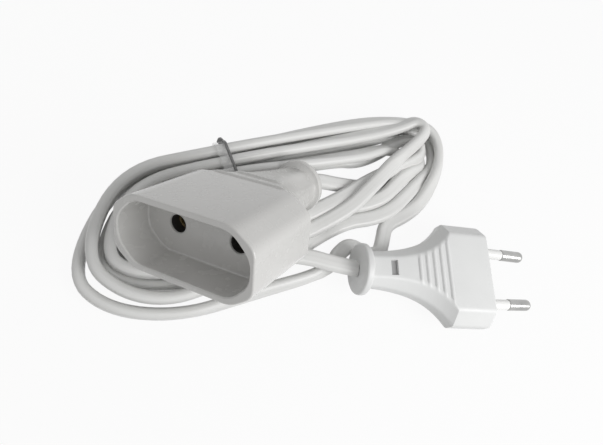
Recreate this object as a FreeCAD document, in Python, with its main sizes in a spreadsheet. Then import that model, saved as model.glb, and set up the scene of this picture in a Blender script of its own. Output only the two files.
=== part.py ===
"""Extension cord, put away as a hank: flat two-pin plug, flat two-core cord and a two-hole coupler.

Millimetres, +Z up. The plug lies flat on the table with its pins along +X. The origin is the
middle of the plug's footprint, at table height. The coupler leans on the hank.
"""
import FreeCAD, Part
import math
import os
import Sketcher
from FreeCAD import Placement, Rotation, Vector

doc = FreeCAD.newDocument("extension_cord")

# Driving dimensions

SIZES = {
    "plug_front": 14.0,
    "plug_width": 35.3,
    "plug_height": 13.7,
    "plug_bevel": 4.6,
    "plug_head_length": 15.0,
    "plug_total_length": 47.0,
    "plug_neck_width": 10.4,
    "plug_neck_height": 8.6,
    "plug_neck_bevel": 2.4,
    "plug_flare_decay": 9.44,
    "plug_edge_round": 0.8,
    "flange_diameter": 16.8,
    "flange_thickness": 2.6,
    "flange_chamfer": 0.7,
    "rib_length": 1.1,
    "rib_height": 0.45,
    "rib_pitch": 2.7,
    "rib_inset": 1.0,
    "notch_place": 34.4,
    "notch_length": 2.5,
    "notch_width": 5.2,
    "notch_depth": 0.7,
    "pin_diameter": 4.0,
    "pin_reach": 19.0,
    "pin_shank_diameter": 2.9,
    "pin_inner_length": 12.0,
    "pin_spacing": 18.6,
    "pin_tip_spacing": 17.5,
    "pin_tip_round": 1.6,
    "collar_diameter": 4.4,
    "collar_length": 1.2,
    "collar_depth": 4.0,
    "crimp_bore": 1.5,
    "crimp_depth": 4.0,
    "crimp_clearance": 0.3,
    "sleeve_diameter": 3.6,
    "sleeve_reach": 10.0,
    "sleeve_seat": 1.5,
    "bridge_width": 27.0,
    "bridge_height": 9.0,
    "bridge_length": 7.5,
    "bridge_bevel": 2.5,
    "coupler_width": 41.2,
    "coupler_height": 20.0,
    "coupler_bevel_width": 6.0,
    "coupler_bevel_height": 4.2,
    "coupler_head_length": 25.5,
    "coupler_total_length": 58.0,
    "coupler_neck_step_across": 2.4,
    "coupler_neck_step_up": 3.15,
    "coupler_neck_bevel": 3.0,
    "coupler_flare_decay": 10.0,
    "recess_width": 38.6,
    "recess_height": 16.7,
    "recess_bevel": 5.2,
    "recess_depth": 10.6,
    "recess_round": 3.2,
    "socket_diameter": 5.0,
    "socket_entry": 3.4,
    "block_length": 14.0,
    "contact_diameter": 5.4,
    "contact_bore": 4.0,
    "contact_length": 10.6,
    "contact_slit": 0.8,
    "contact_floor": 1.0,
    "barrel_diameter": 3.0,
    "barrel_length": 4.0,
    "core_diameter": 2.1,
    "strand_diameter": 1.2,
    "core_stripped": 1.0,
    "core_gap": 0.12,
    "cord_thickness": 3.4,
    "cord_width": 5.4,
    "cord_corner": 1.4,
    "cord_gap": 0.45,
    "lane_slack": 0.17,
    "cord_flat": 0.5,
    "tie_width": 3.2,
    "tie_thickness": 0.5,
    "tie_clearance": 0.3,
    "tie_tail_length": 2.6,
    "tie_tail_width": 1.8,
    "tie_tail_thickness": 1.0,
}

sheet = doc.addObject("Spreadsheet::Sheet", "sizes")
for row, (alias, number) in enumerate(SIZES.items(), start=1):
    sheet.set("A%d" % row, alias)
    sheet.set("B%d" % row, str(number))
    sheet.setAlias("B%d" % row, alias)
doc.recompute()

nodes = []


def size(alias):
    """A driving dimension, read from the sheet."""
    return float(getattr(sheet, alias))


def bind(thing, path, expression):
    """Tie a property to the sheet: every word of the expression that is a size is looked up there."""
    for alias in sorted(SIZES, key=len, reverse=True):
        expression = expression.replace("{%s}" % alias, "sizes." + alias)
    thing.setExpression(path, expression)


def node(item, label):
    """Name a finished sub-part and list it for export."""
    item.Label = label
    nodes.append(item)
    return item


# Sketch and feature helpers for the moulded and turned pieces

def datum(body, role):
    """An origin plane or axis of a body."""
    return next(item for item in body.Origin.OriginFeatures if item.Role == role)


def outline(body, name, role, offset, corners):
    """A closed sketch of straight edges whose corners are pairs of expressions."""
    sketch = body.newObject("Sketcher::SketchObject", name)
    sketch.AttachmentSupport = [(datum(body, role), "")]
    sketch.MapMode = "FlatFace"
    bind(sketch, "AttachmentOffset.Base.z", offset)
    count = len(corners)
    rough = [
        Vector(10 * math.cos(2 * math.pi * k / count), 10 * math.sin(2 * math.pi * k / count), 0)
        for k in range(count)
    ]
    for k in range(count):
        sketch.addGeometry(Part.LineSegment(rough[k], rough[(k + 1) % count]), False)
    for k in range(count):
        sketch.addConstraint(Sketcher.Constraint("Coincident", k, 2, (k + 1) % count, 1))
    for k, (across, up) in enumerate(corners):
        first = sketch.addConstraint(Sketcher.Constraint("DistanceX", -1, 1, k, 1, rough[k].x))
        second = sketch.addConstraint(Sketcher.Constraint("DistanceY", -1, 1, k, 1, rough[k].y))
        bind(sketch, "Constraints[%d]" % first, across)
        bind(sketch, "Constraints[%d]" % second, up)
    return sketch


def octagon(body, name, offset, width, height, bevel_width, bevel_height):
    """An octagon across the X axis: a rectangle with its four corners cut."""
    far = "(%s) / 2" % width
    near = "(%s) / 2 - (%s)" % (width, bevel_width)
    top = "(%s) / 2" % height
    shoulder = "(%s) / 2 - (%s)" % (height, bevel_height)
    quarter = [(far, shoulder), (near, top)]
    corners = [
        quarter[0], quarter[1],
        ("-(%s)" % near, top), ("-(%s)" % far, shoulder),
        ("-(%s)" % far, "-(%s)" % shoulder), ("-(%s)" % near, "-(%s)" % top),
        (near, "-(%s)" % top), (far, "-(%s)" % shoulder),
    ]
    return outline(body, name, "YZ_Plane", offset, corners)


def extrude(body, kind, name, sketch, length, backwards):
    """A Pad or Pocket whose length is bound to the sheet."""
    feature = body.newObject("PartDesign::" + kind, name)
    feature.Profile = sketch
    feature.Reversed = backwards
    bind(feature, "Length", length)
    return feature


def disc(body, name, offset, diameter):
    """A circle sketch across the X axis."""
    sketch = body.newObject("Sketcher::SketchObject", name)
    sketch.AttachmentSupport = [(datum(body, "YZ_Plane"), "")]
    sketch.MapMode = "FlatFace"
    bind(sketch, "AttachmentOffset.Base.z", offset)
    sketch.addGeometry(Part.Circle(Vector(0, 0, 0), Vector(0, 0, 1), 5), False)
    sketch.addConstraint(Sketcher.Constraint("Coincident", 0, 3, -1, 1))
    around = sketch.addConstraint(Sketcher.Constraint("Diameter", 0, 10))
    bind(sketch, "Constraints[%d]" % around, diameter)
    return sketch


def turned(name, profile, place):
    """A body turned about X from (along, radius) corners, at a place of its own."""
    body = doc.addObject("PartDesign::Body", name)
    sketch = outline(body, name + "_profile", "XY_Plane", "0", profile)
    turn = body.newObject("PartDesign::Revolution", name + "_turn")
    turn.Profile = sketch
    turn.ReferenceAxis = (datum(body, "X_Axis"), [""])
    turn.Angle = 360
    body.Placement = place
    doc.recompute()
    return body


def eased(body, kind, name, base, amount, wanted):
    """Fillet or chamfer the edges of a feature that a test picks out."""
    doc.recompute()
    names = ["Edge%d" % (k + 1) for k, edge in enumerate(base.Shape.Edges) if wanted(edge)]
    feature = body.newObject("PartDesign::" + kind, name)
    feature.Base = (base, names)
    bind(feature, "Radius" if kind == "Fillet" else "Size", amount)
    body.Tip = feature
    doc.recompute()
    return feature


def hidden_in(outer, pieces, name):
    """The outer piece with room cut for the pieces that sit inside it."""
    inner = doc.addObject("Part::MultiFuse", name + "_inside")
    inner.Shapes = pieces
    cut = doc.addObject("Part::Cut", name)
    cut.Base = outer
    cut.Tool = inner
    doc.recompute()
    return cut


def flare(wide, narrow, decay, along):
    """Expression for a width that falls away from the head as the cord's neck is reached."""
    return "%s + (%s - %s) * exp(-(%s) / %s)" % (narrow, wide, narrow, along, decay)


# Cord geometry: sections, rounded routes and biarcs

UP = Vector(0, 0, 1)


def flat_section(start, along):
    """The cord's outline, on edge, with its wide side upright and its round edges as ridges."""
    upright = (UP - along * UP.dot(along)).normalize()
    side = along.cross(upright)
    half_thick = size("cord_thickness") / 2
    half_wide = size("cord_width") / 2
    shoulder = half_wide - size("cord_corner")
    corners = (
        (half_thick, shoulder), (0, half_wide), (-half_thick, shoulder),
        (-half_thick, -shoulder), (0, -half_wide), (half_thick, -shoulder),
    )
    points = [start + side * x + upright * y for x, y in corners]
    return Part.makePolygon(points + [points[0]])


def conductor_section(diameter, start, along):
    """A conductor's outline, six-sided to keep the hidden cores light."""
    side = along.cross(UP).normalize()
    upright = side.cross(along)
    points = []
    for k in range(6):
        angle = math.pi / 3 * k
        points.append(start + (side * math.cos(angle) + upright * math.sin(angle)) * (diameter / 2))
    return Part.makePolygon(points + [points[0]])


def swept(section, path):
    """One closed tube along a smooth path."""
    shell = Part.BRepOffsetAPI.MakePipeShell(path)
    shell.add(section)
    shell.build()
    shell.makeSolid()
    return shell.shape()


def tangent_route(points, name):
    """Straight runs joined by tangent arcs, each as large as its two runs allow."""
    edges = []
    radii = []
    last = points[0]
    for before, corner, after in zip(points, points[1:], points[2:]):
        arriving = (corner - before).normalize()
        leaving = (after - corner).normalize()
        shorter = min((corner - before).Length, (after - corner).Length)
        half_turn = arriving.getAngle(leaving) / 2
        reach = 0.45 * shorter
        first = corner - arriving * reach
        second = corner + leaving * reach
        radius = reach / math.tan(half_turn)
        bulge = radius * (1 / math.cos(half_turn) - 1)
        middle = corner + (leaving - arriving).normalize() * bulge
        edges.append(Part.LineSegment(last, first).toShape())
        edges.append(Part.Arc(first, middle, second).toShape())
        radii.append(round(radius, 1))
        last = second
    edges.append(Part.LineSegment(last, points[-1]).toShape())
    print(name, "radii", radii)
    return Part.Wire(edges)


def feature(name, shape):
    """A sub-part whose shape comes straight from a sweep or a loft."""
    item = doc.addObject("Part::Feature", name)
    item.Shape = shape
    return item


# The plug: pins, sleeves and bridge first, then the moulded grip round them

axis_height = size("flange_diameter") / 2
plug_place = Placement(Vector(size("plug_front"), 0, axis_height), Rotation())
pin_lean = math.degrees(math.atan((size("pin_spacing") - size("pin_tip_spacing")) / 2 / size("pin_reach")))
SIDES = (("left", 1), ("right", -1))


def pin_place(side):
    """Where a pin's axis leaves the plug's end face, leaning towards the other pin."""
    start = Vector(size("plug_front"), side * size("pin_spacing") / 2, axis_height)
    return Placement(start, Rotation(UP, -side * pin_lean))


TIP_ANGLES = (0, 45, 90)
PIN_TIP = []
for angle in TIP_ANGLES:
    short_of_end = 1 - math.sin(math.radians(angle))
    in_from_side = 1 - math.cos(math.radians(angle))
    PIN_TIP.append((
        "{pin_reach} - {pin_tip_round} * %.4f" % short_of_end,
        "{pin_diameter} / 2 - {pin_tip_round} * %.4f" % in_from_side,
    ))
PIN = [
    ("-{pin_inner_length}", "{crimp_bore} / 2"),
    ("-{pin_inner_length}", "{pin_shank_diameter} / 2"),
    ("-{collar_depth} - {collar_length}", "{pin_shank_diameter} / 2"),
    ("-{collar_depth} - {collar_length}", "{collar_diameter} / 2"),
    ("-{collar_depth}", "{collar_diameter} / 2"),
    ("-{collar_depth}", "{pin_shank_diameter} / 2"),
    ("{sleeve_reach}", "{pin_shank_diameter} / 2"),
    ("{sleeve_reach}", "{pin_diameter} / 2"),
    *PIN_TIP,
    ("{pin_reach}", "0"),
    ("{crimp_depth} - {pin_inner_length}", "0"),
    ("{crimp_depth} - {pin_inner_length}", "{crimp_bore} / 2"),
]
SLEEVE = [
    ("-{sleeve_seat}", "{pin_shank_diameter} / 2"),
    ("-{sleeve_seat}", "{sleeve_diameter} / 2"),
    ("{sleeve_reach}", "{sleeve_diameter} / 2"),
    ("{sleeve_reach}", "{pin_shank_diameter} / 2"),
]

pins = []
sleeves = []
for side_name, side in SIDES:
    pins.append(node(turned("plug_pin_" + side_name, PIN, pin_place(side)), "plug_pin_" + side_name))
    sleeves.append(node(turned("plug_sleeve_" + side_name, SLEEVE, pin_place(side)), "plug_sleeve_" + side_name))

bridge_block = doc.addObject("PartDesign::Body", "bridge_block")
bridge_outline = octagon(
    bridge_block, "bridge_outline", "0", "{bridge_width}", "{bridge_height}", "{bridge_bevel}", "{bridge_bevel}"
)
extrude(bridge_block, "Pad", "bridge_pad", bridge_outline, "{bridge_length}", True)
bridge_block.Placement = plug_place
doc.recompute()
node(hidden_in(bridge_block, pins + sleeves, "bridge"), "plug_bridge")


def conductor(label, points, strip):
    """An insulated core along a route, and the bare strands that run on from it into the crimp."""
    onwards = (points[-1] - points[-2]).normalize()
    bared = points[-1] - onwards * strip
    along = (points[1] - points[0]).normalize()
    path = tangent_route(points[:-1] + [bared], label)
    core = feature(label + "_core_shape", swept(conductor_section(size("core_diameter"), points[0], along), path))
    bundle = Part.Face(conductor_section(size("strand_diameter"), bared, onwards)).extrude(onwards * strip)
    strands = feature(label + "_strands_shape", bundle)
    return core, strands


CORE_COLOURS = {"left": "brown", "right": "blue"}

# Each bend of a core on its way from the cord to its crimp: how far in from the flange, how far
# to its side, and what share it keeps of its place above or below the other core.
PLUG_BENDS = ((10.0, 0.0, 1.0), (18.0, 2.6, 0.9), (26.0, 7.2, 0.4))
COUPLER_BENDS = ((10.0, 0.0, 1.0), (17.0, 2.4, 0.9), (21.5, 6.6, 0.4))
CRIMP_RUN = 3.5

plug_back = size("plug_front") - size("plug_total_length")
core_offset = (size("core_diameter") + size("core_gap")) / 2
plug_conductors = []
for side_name, side in SIDES:
    pin_axis = pin_place(side)
    route = [Vector(plug_back, 0, axis_height + side * core_offset)]
    for inwards, aside, share in PLUG_BENDS:
        route.append(Vector(plug_back + inwards, side * aside, axis_height + side * share * core_offset))
    route += [
        pin_axis.multVec(Vector(-size("pin_inner_length") - CRIMP_RUN, 0, 0)),
        pin_axis.multVec(Vector(-size("pin_inner_length") + size("crimp_depth"), 0, 0)),
    ]
    colour = CORE_COLOURS[side_name]
    core, strands = conductor(
        "plug_" + colour, route, size("crimp_depth") + size("core_stripped")
    )
    plug_conductors += [
        node(core, "plug_core_" + colour),
        node(strands, "plug_strands_" + colour),
    ]

plug_grip = doc.addObject("PartDesign::Body", "plug_grip")
head = octagon(plug_grip, "plug_head_outline", "0", "{plug_width}", "{plug_height}", "{plug_bevel}", "{plug_bevel}")
extrude(plug_grip, "Pad", "plug_head", head, "{plug_head_length}", True)
flare_length = "({plug_total_length} - {flange_thickness} - {plug_head_length})"


def plug_section(name, along):
    """The plug's outline at a distance behind its head."""
    share = "(%s) / %s" % (along, flare_length)
    width = flare("{plug_width}", "{plug_neck_width}", "{plug_flare_decay}", along)
    height = "{plug_height} + ({plug_neck_height} - {plug_height}) * " + share
    bevel = "{plug_bevel} + ({plug_neck_bevel} - {plug_bevel}) * " + share
    place = "-{plug_head_length} - (%s)" % along
    return octagon(plug_grip, name, place, width, height, bevel, bevel), width, height, bevel


FLARE_SHARES = (0.0, 0.12, 0.28, 0.5, 0.75, 1.0)
plug_sections = []
for count, share in enumerate(FLARE_SHARES):
    plug_sections.append(plug_section("plug_flare_%d" % count, "%s * %s" % (share, flare_length))[0])
plug_flare = plug_grip.newObject("PartDesign::AdditiveLoft", "plug_flare")
plug_flare.Profile = plug_sections[0]
plug_flare.Sections = plug_sections[1:]
doc.recompute()

RIB_COUNT = 4
for count in range(RIB_COUNT):
    along = "(%d * {rib_pitch} + {rib_inset})" % count
    share = "%s / %s" % (along, flare_length)
    width = flare("{plug_width}", "{plug_neck_width}", "{plug_flare_decay}", along + " + {rib_length}")
    height = "{plug_height} + ({plug_neck_height} - {plug_height}) * " + share
    bevel = "({plug_bevel} + ({plug_neck_bevel} - {plug_bevel}) * %s)" % share
    half_width = "((%s) / 2 - %s - {rib_inset} / 2)" % (width, bevel)
    half_height = "((%s) / 2 + {rib_height})" % height
    corners = [
        (half_width, half_height),
        ("-" + half_width, half_height),
        ("-" + half_width, "-" + half_height),
        (half_width, "-" + half_height),
    ]
    rib = outline(plug_grip, "rib_outline_%d" % count, "YZ_Plane", "-{plug_head_length} - " + along, corners)
    extrude(plug_grip, "Pad", "rib_%d" % count, rib, "{rib_length}", True)

flange = disc(plug_grip, "flange_outline", "-{plug_total_length}", "{flange_diameter}")
flange_pad = extrude(plug_grip, "Pad", "flange", flange, "{flange_thickness}", False)
notch = plug_grip.newObject("PartDesign::SubtractiveBox", "notch")
bind(notch, "Length", "{notch_length}")
bind(notch, "Width", "{notch_width}")
bind(notch, "Height", "{plug_height}")
neck_share = "(({notch_place} - {plug_head_length}) / %s)" % flare_length
neck_top = "(({plug_height} + ({plug_neck_height} - {plug_height}) * %s) / 2)" % neck_share
bind(notch, "Placement.Base.x", "-{notch_place} - {notch_length} / 2")
bind(notch, "Placement.Base.y", "-{notch_width} / 2")
bind(notch, "Placement.Base.z", neck_top + " - {notch_depth}")
plug_grip.Tip = notch


def plug_front_edge(edge):
    """An edge of the plug's end face."""
    return all(abs(vertex.Point.x) < 1e-4 for vertex in edge.Vertexes)


def flange_rim(edge):
    """One of the flange's two round rims."""
    box = edge.BoundBox
    across = abs(box.YLength - size("flange_diameter")) < 1e-3
    return across and box.XLength < 1e-4


front_round = eased(plug_grip, "Fillet", "plug_front_round", notch, "{plug_edge_round}", plug_front_edge)
eased(plug_grip, "Chamfer", "flange_rims", front_round, "{flange_chamfer}", flange_rim)
plug_grip.Placement = plug_place
doc.recompute()
node(hidden_in(plug_grip, [bridge_block] + pins + sleeves + plug_conductors, "plug"), "plug_body")

# The coupler, in its own frame: X runs in from the middle of its mouth, Z is its broad top

x_axis = Vector(0.6666, 0.5698, -0.4806)
y_axis = Vector(-0.7353, 0.3965, -0.5497)
z_axis = Vector(-0.1226, 0.7198, 0.6833)
coupler_place = Placement(
    Vector(-91.5, -7.1, 38.4), Rotation(x_axis, y_axis, z_axis, "ZXY")
)

coupler_grip = doc.addObject("PartDesign::Body", "coupler_grip")
head = octagon(
    coupler_grip, "coupler_head_outline", "0", "{coupler_width}", "{coupler_height}",
    "{coupler_bevel_width}", "{coupler_bevel_height}"
)
extrude(coupler_grip, "Pad", "coupler_head", head, "{coupler_head_length}", False)
coupler_flare_length = "({coupler_total_length} - {flange_thickness} - {coupler_head_length})"
coupler_neck_width = "({flange_diameter} - 2 * {coupler_neck_step_across})"
coupler_neck_height = "({flange_diameter} - 2 * {coupler_neck_step_up})"
coupler_sections = []
for count, share in enumerate(FLARE_SHARES):
    along = "%s * %s" % (share, coupler_flare_length)
    width = flare("{coupler_width}", coupler_neck_width, "{coupler_flare_decay}", along)
    height = "{coupler_height} + (%s - {coupler_height}) * %s" % (coupler_neck_height, share)
    bevel_width = "{coupler_bevel_width} + ({coupler_neck_bevel} - {coupler_bevel_width}) * %s" % share
    bevel_height = "{coupler_bevel_height} + ({coupler_neck_bevel} - {coupler_bevel_height}) * %s" % share
    coupler_sections.append(octagon(
        coupler_grip, "coupler_flare_%d" % count, "{coupler_head_length} + " + along,
        width, height, bevel_width, bevel_height
    ))
coupler_flare = coupler_grip.newObject("PartDesign::AdditiveLoft", "coupler_flare")
coupler_flare.Profile = coupler_sections[0]
coupler_flare.Sections = coupler_sections[1:]
doc.recompute()

COUPLER_RIB_COUNT = 2
for count in range(COUPLER_RIB_COUNT):
    along = "(%d * 2 * {rib_pitch} + {rib_inset})" % count
    share = "%s / %s" % (along, coupler_flare_length)
    width = flare("{coupler_width}", coupler_neck_width, "{coupler_flare_decay}", along + " + {rib_length}")
    height = "{coupler_height} + (%s - {coupler_height}) * %s" % (coupler_neck_height, share)
    bevel = "({coupler_bevel_width} + ({coupler_neck_bevel} - {coupler_bevel_width}) * %s)" % share
    half_width = "((%s) / 2 - %s - {rib_inset} / 2)" % (width, bevel)
    half_height = "((%s) / 2 + {rib_height})" % height
    corners = [
        (half_width, half_height),
        ("-" + half_width, half_height),
        ("-" + half_width, "-" + half_height),
        (half_width, "-" + half_height),
    ]
    rib = outline(
        coupler_grip, "coupler_rib_outline_%d" % count, "YZ_Plane", "{coupler_head_length} + " + along, corners
    )
    extrude(coupler_grip, "Pad", "coupler_rib_%d" % count, rib, "{rib_length}", False)

flange = disc(coupler_grip, "coupler_flange_outline", "{coupler_total_length}", "{flange_diameter}")
extrude(coupler_grip, "Pad", "coupler_flange", flange, "{flange_thickness}", True)
recess_outline = octagon(
    coupler_grip, "recess_outline", "0", "{recess_width}", "{recess_height}", "{recess_bevel}", "{recess_bevel}"
)
recess = extrude(coupler_grip, "Pocket", "recess", recess_outline, "{recess_depth}", True)
doc.recompute()


def recess_corner(edge):
    """An edge that runs from the mouth to the recess floor."""
    ends = sorted(vertex.Point.x for vertex in edge.Vertexes)
    inside = all(abs(vertex.Point.y) < size("recess_width") / 2 + 1e-4 for vertex in edge.Vertexes)
    return inside and len(ends) == 2 and abs(ends[0]) < 1e-4 and abs(ends[1] - size("recess_depth")) < 1e-4


recess_round = eased(coupler_grip, "Fillet", "recess_round", recess, "{recess_round}", recess_corner)
eased(coupler_grip, "Chamfer", "coupler_flange_rims", recess_round, "{flange_chamfer}", flange_rim)
coupler_grip.Placement = coupler_place
doc.recompute()

CONTACT = [
    ("0", "{contact_bore} / 2"),
    ("0", "{contact_diameter} / 2"),
    ("{contact_length}", "{contact_diameter} / 2"),
    ("{contact_length}", "{barrel_diameter} / 2"),
    ("{contact_length} + {barrel_length}", "{barrel_diameter} / 2"),
    ("{contact_length} + {barrel_length}", "{crimp_bore} / 2"),
    ("{contact_length} + {barrel_length} - {crimp_depth} + {crimp_clearance}", "{crimp_bore} / 2"),
    ("{contact_length} + {barrel_length} - {crimp_depth} + {crimp_clearance}", "0"),
    ("{contact_length} - {contact_floor}", "0"),
    ("{contact_length} - {contact_floor}", "{contact_bore} / 2"),
]
socket_holes = []
contact_start = size("recess_depth") + size("socket_entry")
for side_name, side in SIDES:
    place = coupler_place.multiply(Placement(Vector(contact_start, side * size("pin_spacing") / 2, 0), Rotation()))
    contact = turned("coupler_contact_" + side_name, CONTACT, place)
    slit = contact.newObject("PartDesign::SubtractiveBox", "slit_" + side_name)
    bind(slit, "Length", "{contact_length} - 2 * {contact_floor}")
    bind(slit, "Width", "{contact_slit}")
    bind(slit, "Height", "{contact_diameter}")
    bind(slit, "Placement.Base.y", "-{contact_slit} / 2")
    contact.Tip = slit
    node(contact, "coupler_contact_" + side_name)
    hole = doc.addObject("Part::Cylinder", "socket_hole_" + side_name)
    bind(hole, "Radius", "{socket_diameter} / 2")
    bind(hole, "Height", "{socket_entry}")
    start = coupler_place.multVec(Vector(size("recess_depth"), side * size("pin_spacing") / 2, 0))
    hole.Placement = Placement(start, coupler_place.Rotation.multiply(Rotation(Vector(0, 1, 0), 90)))
    seat = doc.addObject("Part::Cylinder", "contact_seat_" + side_name)
    bind(seat, "Radius", "{contact_diameter} / 2")
    bind(seat, "Height", "{contact_length}")
    seat.Placement = Placement(place.Base, hole.Placement.Rotation)
    barrel = doc.addObject("Part::Cylinder", "barrel_seat_" + side_name)
    bind(barrel, "Radius", "{barrel_diameter} / 2")
    bind(barrel, "Height", "{contact_length} + {barrel_length}")
    barrel.Placement = seat.Placement
    socket_holes += [hole, seat, barrel]

block = doc.addObject("PartDesign::Body", "block")
block_outline = octagon(
    block, "block_outline", "{recess_depth}", "{recess_width} - 2 * {recess_bevel}", "{recess_height} - {recess_bevel}",
    "{bridge_bevel}", "{bridge_bevel}"
)
extrude(block, "Pad", "block_pad", block_outline, "{block_length}", False)
block.Placement = coupler_place
doc.recompute()
node(hidden_in(block, socket_holes, "contact_block"), "coupler_contact_block")

coupler_conductors = []
for side_name, side in SIDES:
    aside_at_crimp = side * size("pin_spacing") / 2
    barrel_end = contact_start + size("contact_length") + size("barrel_length")
    length = size("coupler_total_length")
    low_side = coupler_place.Rotation.inverted().multVec(UP)
    low_side.x = 0
    low_side.normalize()
    offset = low_side * (-side * core_offset)
    inside = [Vector(length, offset.y, offset.z)]
    for inwards, aside, share in COUPLER_BENDS:
        inside.append(Vector(length - inwards, offset.y * share + side * aside, offset.z * share))
    inside += [
        Vector(barrel_end + CRIMP_RUN, aside_at_crimp, 0),
        Vector(barrel_end - size("crimp_depth") + size("crimp_clearance"), aside_at_crimp, 0),
    ]
    route = [coupler_place.multVec(point) for point in inside]
    colour = CORE_COLOURS[side_name]
    core, strands = conductor(
        "coupler_" + colour, route, size("crimp_depth") + size("core_stripped")
    )
    coupler_conductors += [
        node(core, "coupler_core_" + colour),
        node(strands, "coupler_strands_" + colour),
    ]

node(hidden_in(coupler_grip, [block] + socket_holes + coupler_conductors, "coupler"), "coupler_body")

# The hank: five and a half loops drawn in at the tie, worked out pass by pass

low = size("cord_width") / 2 - size("cord_flat")
layer = size("cord_width") + size("cord_gap")
lane = size("cord_thickness") + size("cord_gap") + size("lane_slack")
tie_lift = size("cord_flat") + size("tie_thickness") + size("tie_clearance")

# Each station of a loop: the outermost cord's centre, how far in the first pass and the pass
# that rides on it lie, the start and pitch of the columns, the shift of the upper layer, the
# share of a layer that it stands up, and the lift off the table.
STATIONS = {
    "under_coupler": (-84.0, -12.6, 0.0, 3.6, -0.2, 6.0, 3.0, 1.0, 0.0),
    "left_low": (-104.0, -13.6, 0.0, 4.5, 2.3, 4.5, 2.2, 1.0, 0.0),
    "left_end": (-115.2, -2.0, 0.0, 2.8, 1.4, 4.4, 2.1, 1.0, 0.0),
    "left_top": (-106.0, 23.0, 0.0, 0.6, 0.3, 4.4, 0.9, 1.0, 0.0),
    "tie": (-79.2, 34.5, 0.0, 0.0, 0.0, lane, 0.0, 1.0, tie_lift),
    "far_right": (-33.0, 52.6, 0.0, 0.0, 0.0, lane, 0.0, 1.0, 0.0),
    "far_end": (-12.0, 58.4, 0.0, 0.0, 0.0, lane, 0.0, 1.0, 0.0),
    "corner": (0.9, 57.2, 0.8, 0.0, 0.8, 4.1, 1.0, 1.0, 0.0),
    "right_end": (5.0, 44.6, 2.0, 0.0, 2.0, 4.2, 2.1, 1.0, 0.0),
    "near_right": (-2.8, 29.4, 3.0, 0.0, 1.4, 5.8, 2.8, 1.0, 0.0),
    "near_side": (-19.0, 19.6, 3.2, 0.0, -0.6, 8.1, 4.1, 0.5, 0.0),
    "near_middle": (-37.1, 13.2, 0.0, 0.0, 0.0, lane, 0.0, 0.0, 0.0),
    "crossing": (-65.0, -8.2, 0.0, 0.0, 0.0, lane, 0.0, 0.0, 0.0),
}
COLUMNS = {1: (0, 0), 0: (0, 1), 2: (1, 0), 3: (1, 1), 4: (2, 0), 5: (2, 1)}
LAST_PASS = 5
CLIMB = 0.45


def mean_tangent(before, here, after):
    """The direction through three points, leaning to the nearer neighbour."""
    arriving = here - before
    leaving = after - here
    blend = arriving * (leaving.Length / arriving.Length) + leaving * (arriving.Length / leaving.Length)
    return blend.normalize()


station_names = list(STATIONS)
station_points = [Vector(STATIONS[name][0], STATIONS[name][1], 0) for name in station_names]
headings = {}
for count, name in enumerate(station_names):
    after = station_points[(count + 1) % len(station_points)]
    headings[name] = mean_tangent(station_points[count - 1], station_points[count], after)


def inward(name, distance, height):
    """A point at a station, a distance in from the outermost cord."""
    x, y = STATIONS[name][:2]
    heading = headings[name]
    return Vector(x + heading.y * distance, y - heading.x * distance, height)


def loop_point(name, turn):
    """Where one pass of the cord lies at a station, in its column and layer."""
    first, rider, base, pitch, shift, rise, lift = STATIONS[name][2:]
    column, upper = COLUMNS[turn]
    distance = base + column * pitch + upper * shift
    if turn == 0:
        distance = rider
    if turn == 1:
        distance = first
    return inward(name, distance, low + lift + layer * upper * rise)


# After the first pass the cord leaves the others, rounds the plug's flange and passes under its lead
LOOSE_END = [
    (-13.0, 20.6, 1.0),
    (-22.5, 15.8, 0.0),
    (-31.0, 11.9, 0.0),
    (-36.9, 6.6, 0.0),
    (-39.0, 0.5, 0.0),
    (-46.5, -5.0, 0.0),
]
round_names = [name for name in station_names if name not in ("near_middle", "crossing")]
route = []
for turn in range(LAST_PASS + 1):
    column = COLUMNS[turn][0]
    for name in round_names:
        skipped = (
            (turn == 0 and name == "near_side")
            or (column and name == "corner")
            or (turn == LAST_PASS and name in ("far_end", "right_end", "near_right", "near_side"))
        )
        own_way = turn == 0 and name == "near_right"
        if not skipped:
            route.append(("" if own_way else name, loop_point(name, turn)))
    if turn == 0:
        for x, y, above in LOOSE_END:
            route.append(("", Vector(x, y, low + above)))
        route.append(("", inward("crossing", 0, low)))
    elif turn < LAST_PASS:
        climb = CLIMB * layer if COLUMNS[turn + 1][1] else 0
        route.append(("", inward("near_middle", (turn - 1) * lane, low)))
        route.append(("", inward("crossing", turn * lane, low + climb)))

points = [point for name, point in route]
directions = []
for count, (name, point) in enumerate(route):
    before = points[max(count - 1, 0)]
    after = points[min(count + 1, len(points) - 1)]
    if count in (0, len(points) - 1):
        heading = (after - before).normalize()
    else:
        heading = mean_tangent(before, point, after)
    if name in headings:
        slope = 0 if name == "far_right" else heading.z
        heading = headings[name] * math.sqrt(1 - slope * slope) + UP * slope
    if count in (0, len(points) - 1):
        heading = Vector(heading.x, heading.y, 0).normalize()
    directions.append(heading)


def arc_between(start, guide, end):
    """The arc from start to end whose tangents meet at guide, its radius and its length."""
    arriving = (guide - start).normalize()
    leaving = (end - guide).normalize()
    half_turn = arriving.getAngle(leaving) / 2
    if half_turn < 1e-3:
        return Part.LineSegment(start, end).toShape(), None
    radius = (guide - start).Length / math.tan(half_turn)
    bulge = radius * (1 / math.cos(half_turn) - 1)
    middle = guide + (leaving - arriving).normalize() * bulge
    return Part.Arc(start, middle, end).toShape(), radius


def biarc(start, start_heading, end, end_heading):
    """Two tangent arcs that join two points with given headings."""
    chord = end - start
    both = start_heading + end_heading
    straightness = 2 * (1 - start_heading.dot(end_heading))
    lean = chord.dot(both)
    if straightness < 1e-9:
        reach = chord.dot(chord) / (2 * lean)
    else:
        reach = (-lean + math.sqrt(lean * lean + straightness * chord.dot(chord))) / straightness
    first = start + start_heading * reach
    second = end - end_heading * reach
    joint = (first + second) * 0.5
    return [arc_between(start, first, joint), arc_between(joint, second, end)]


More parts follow.
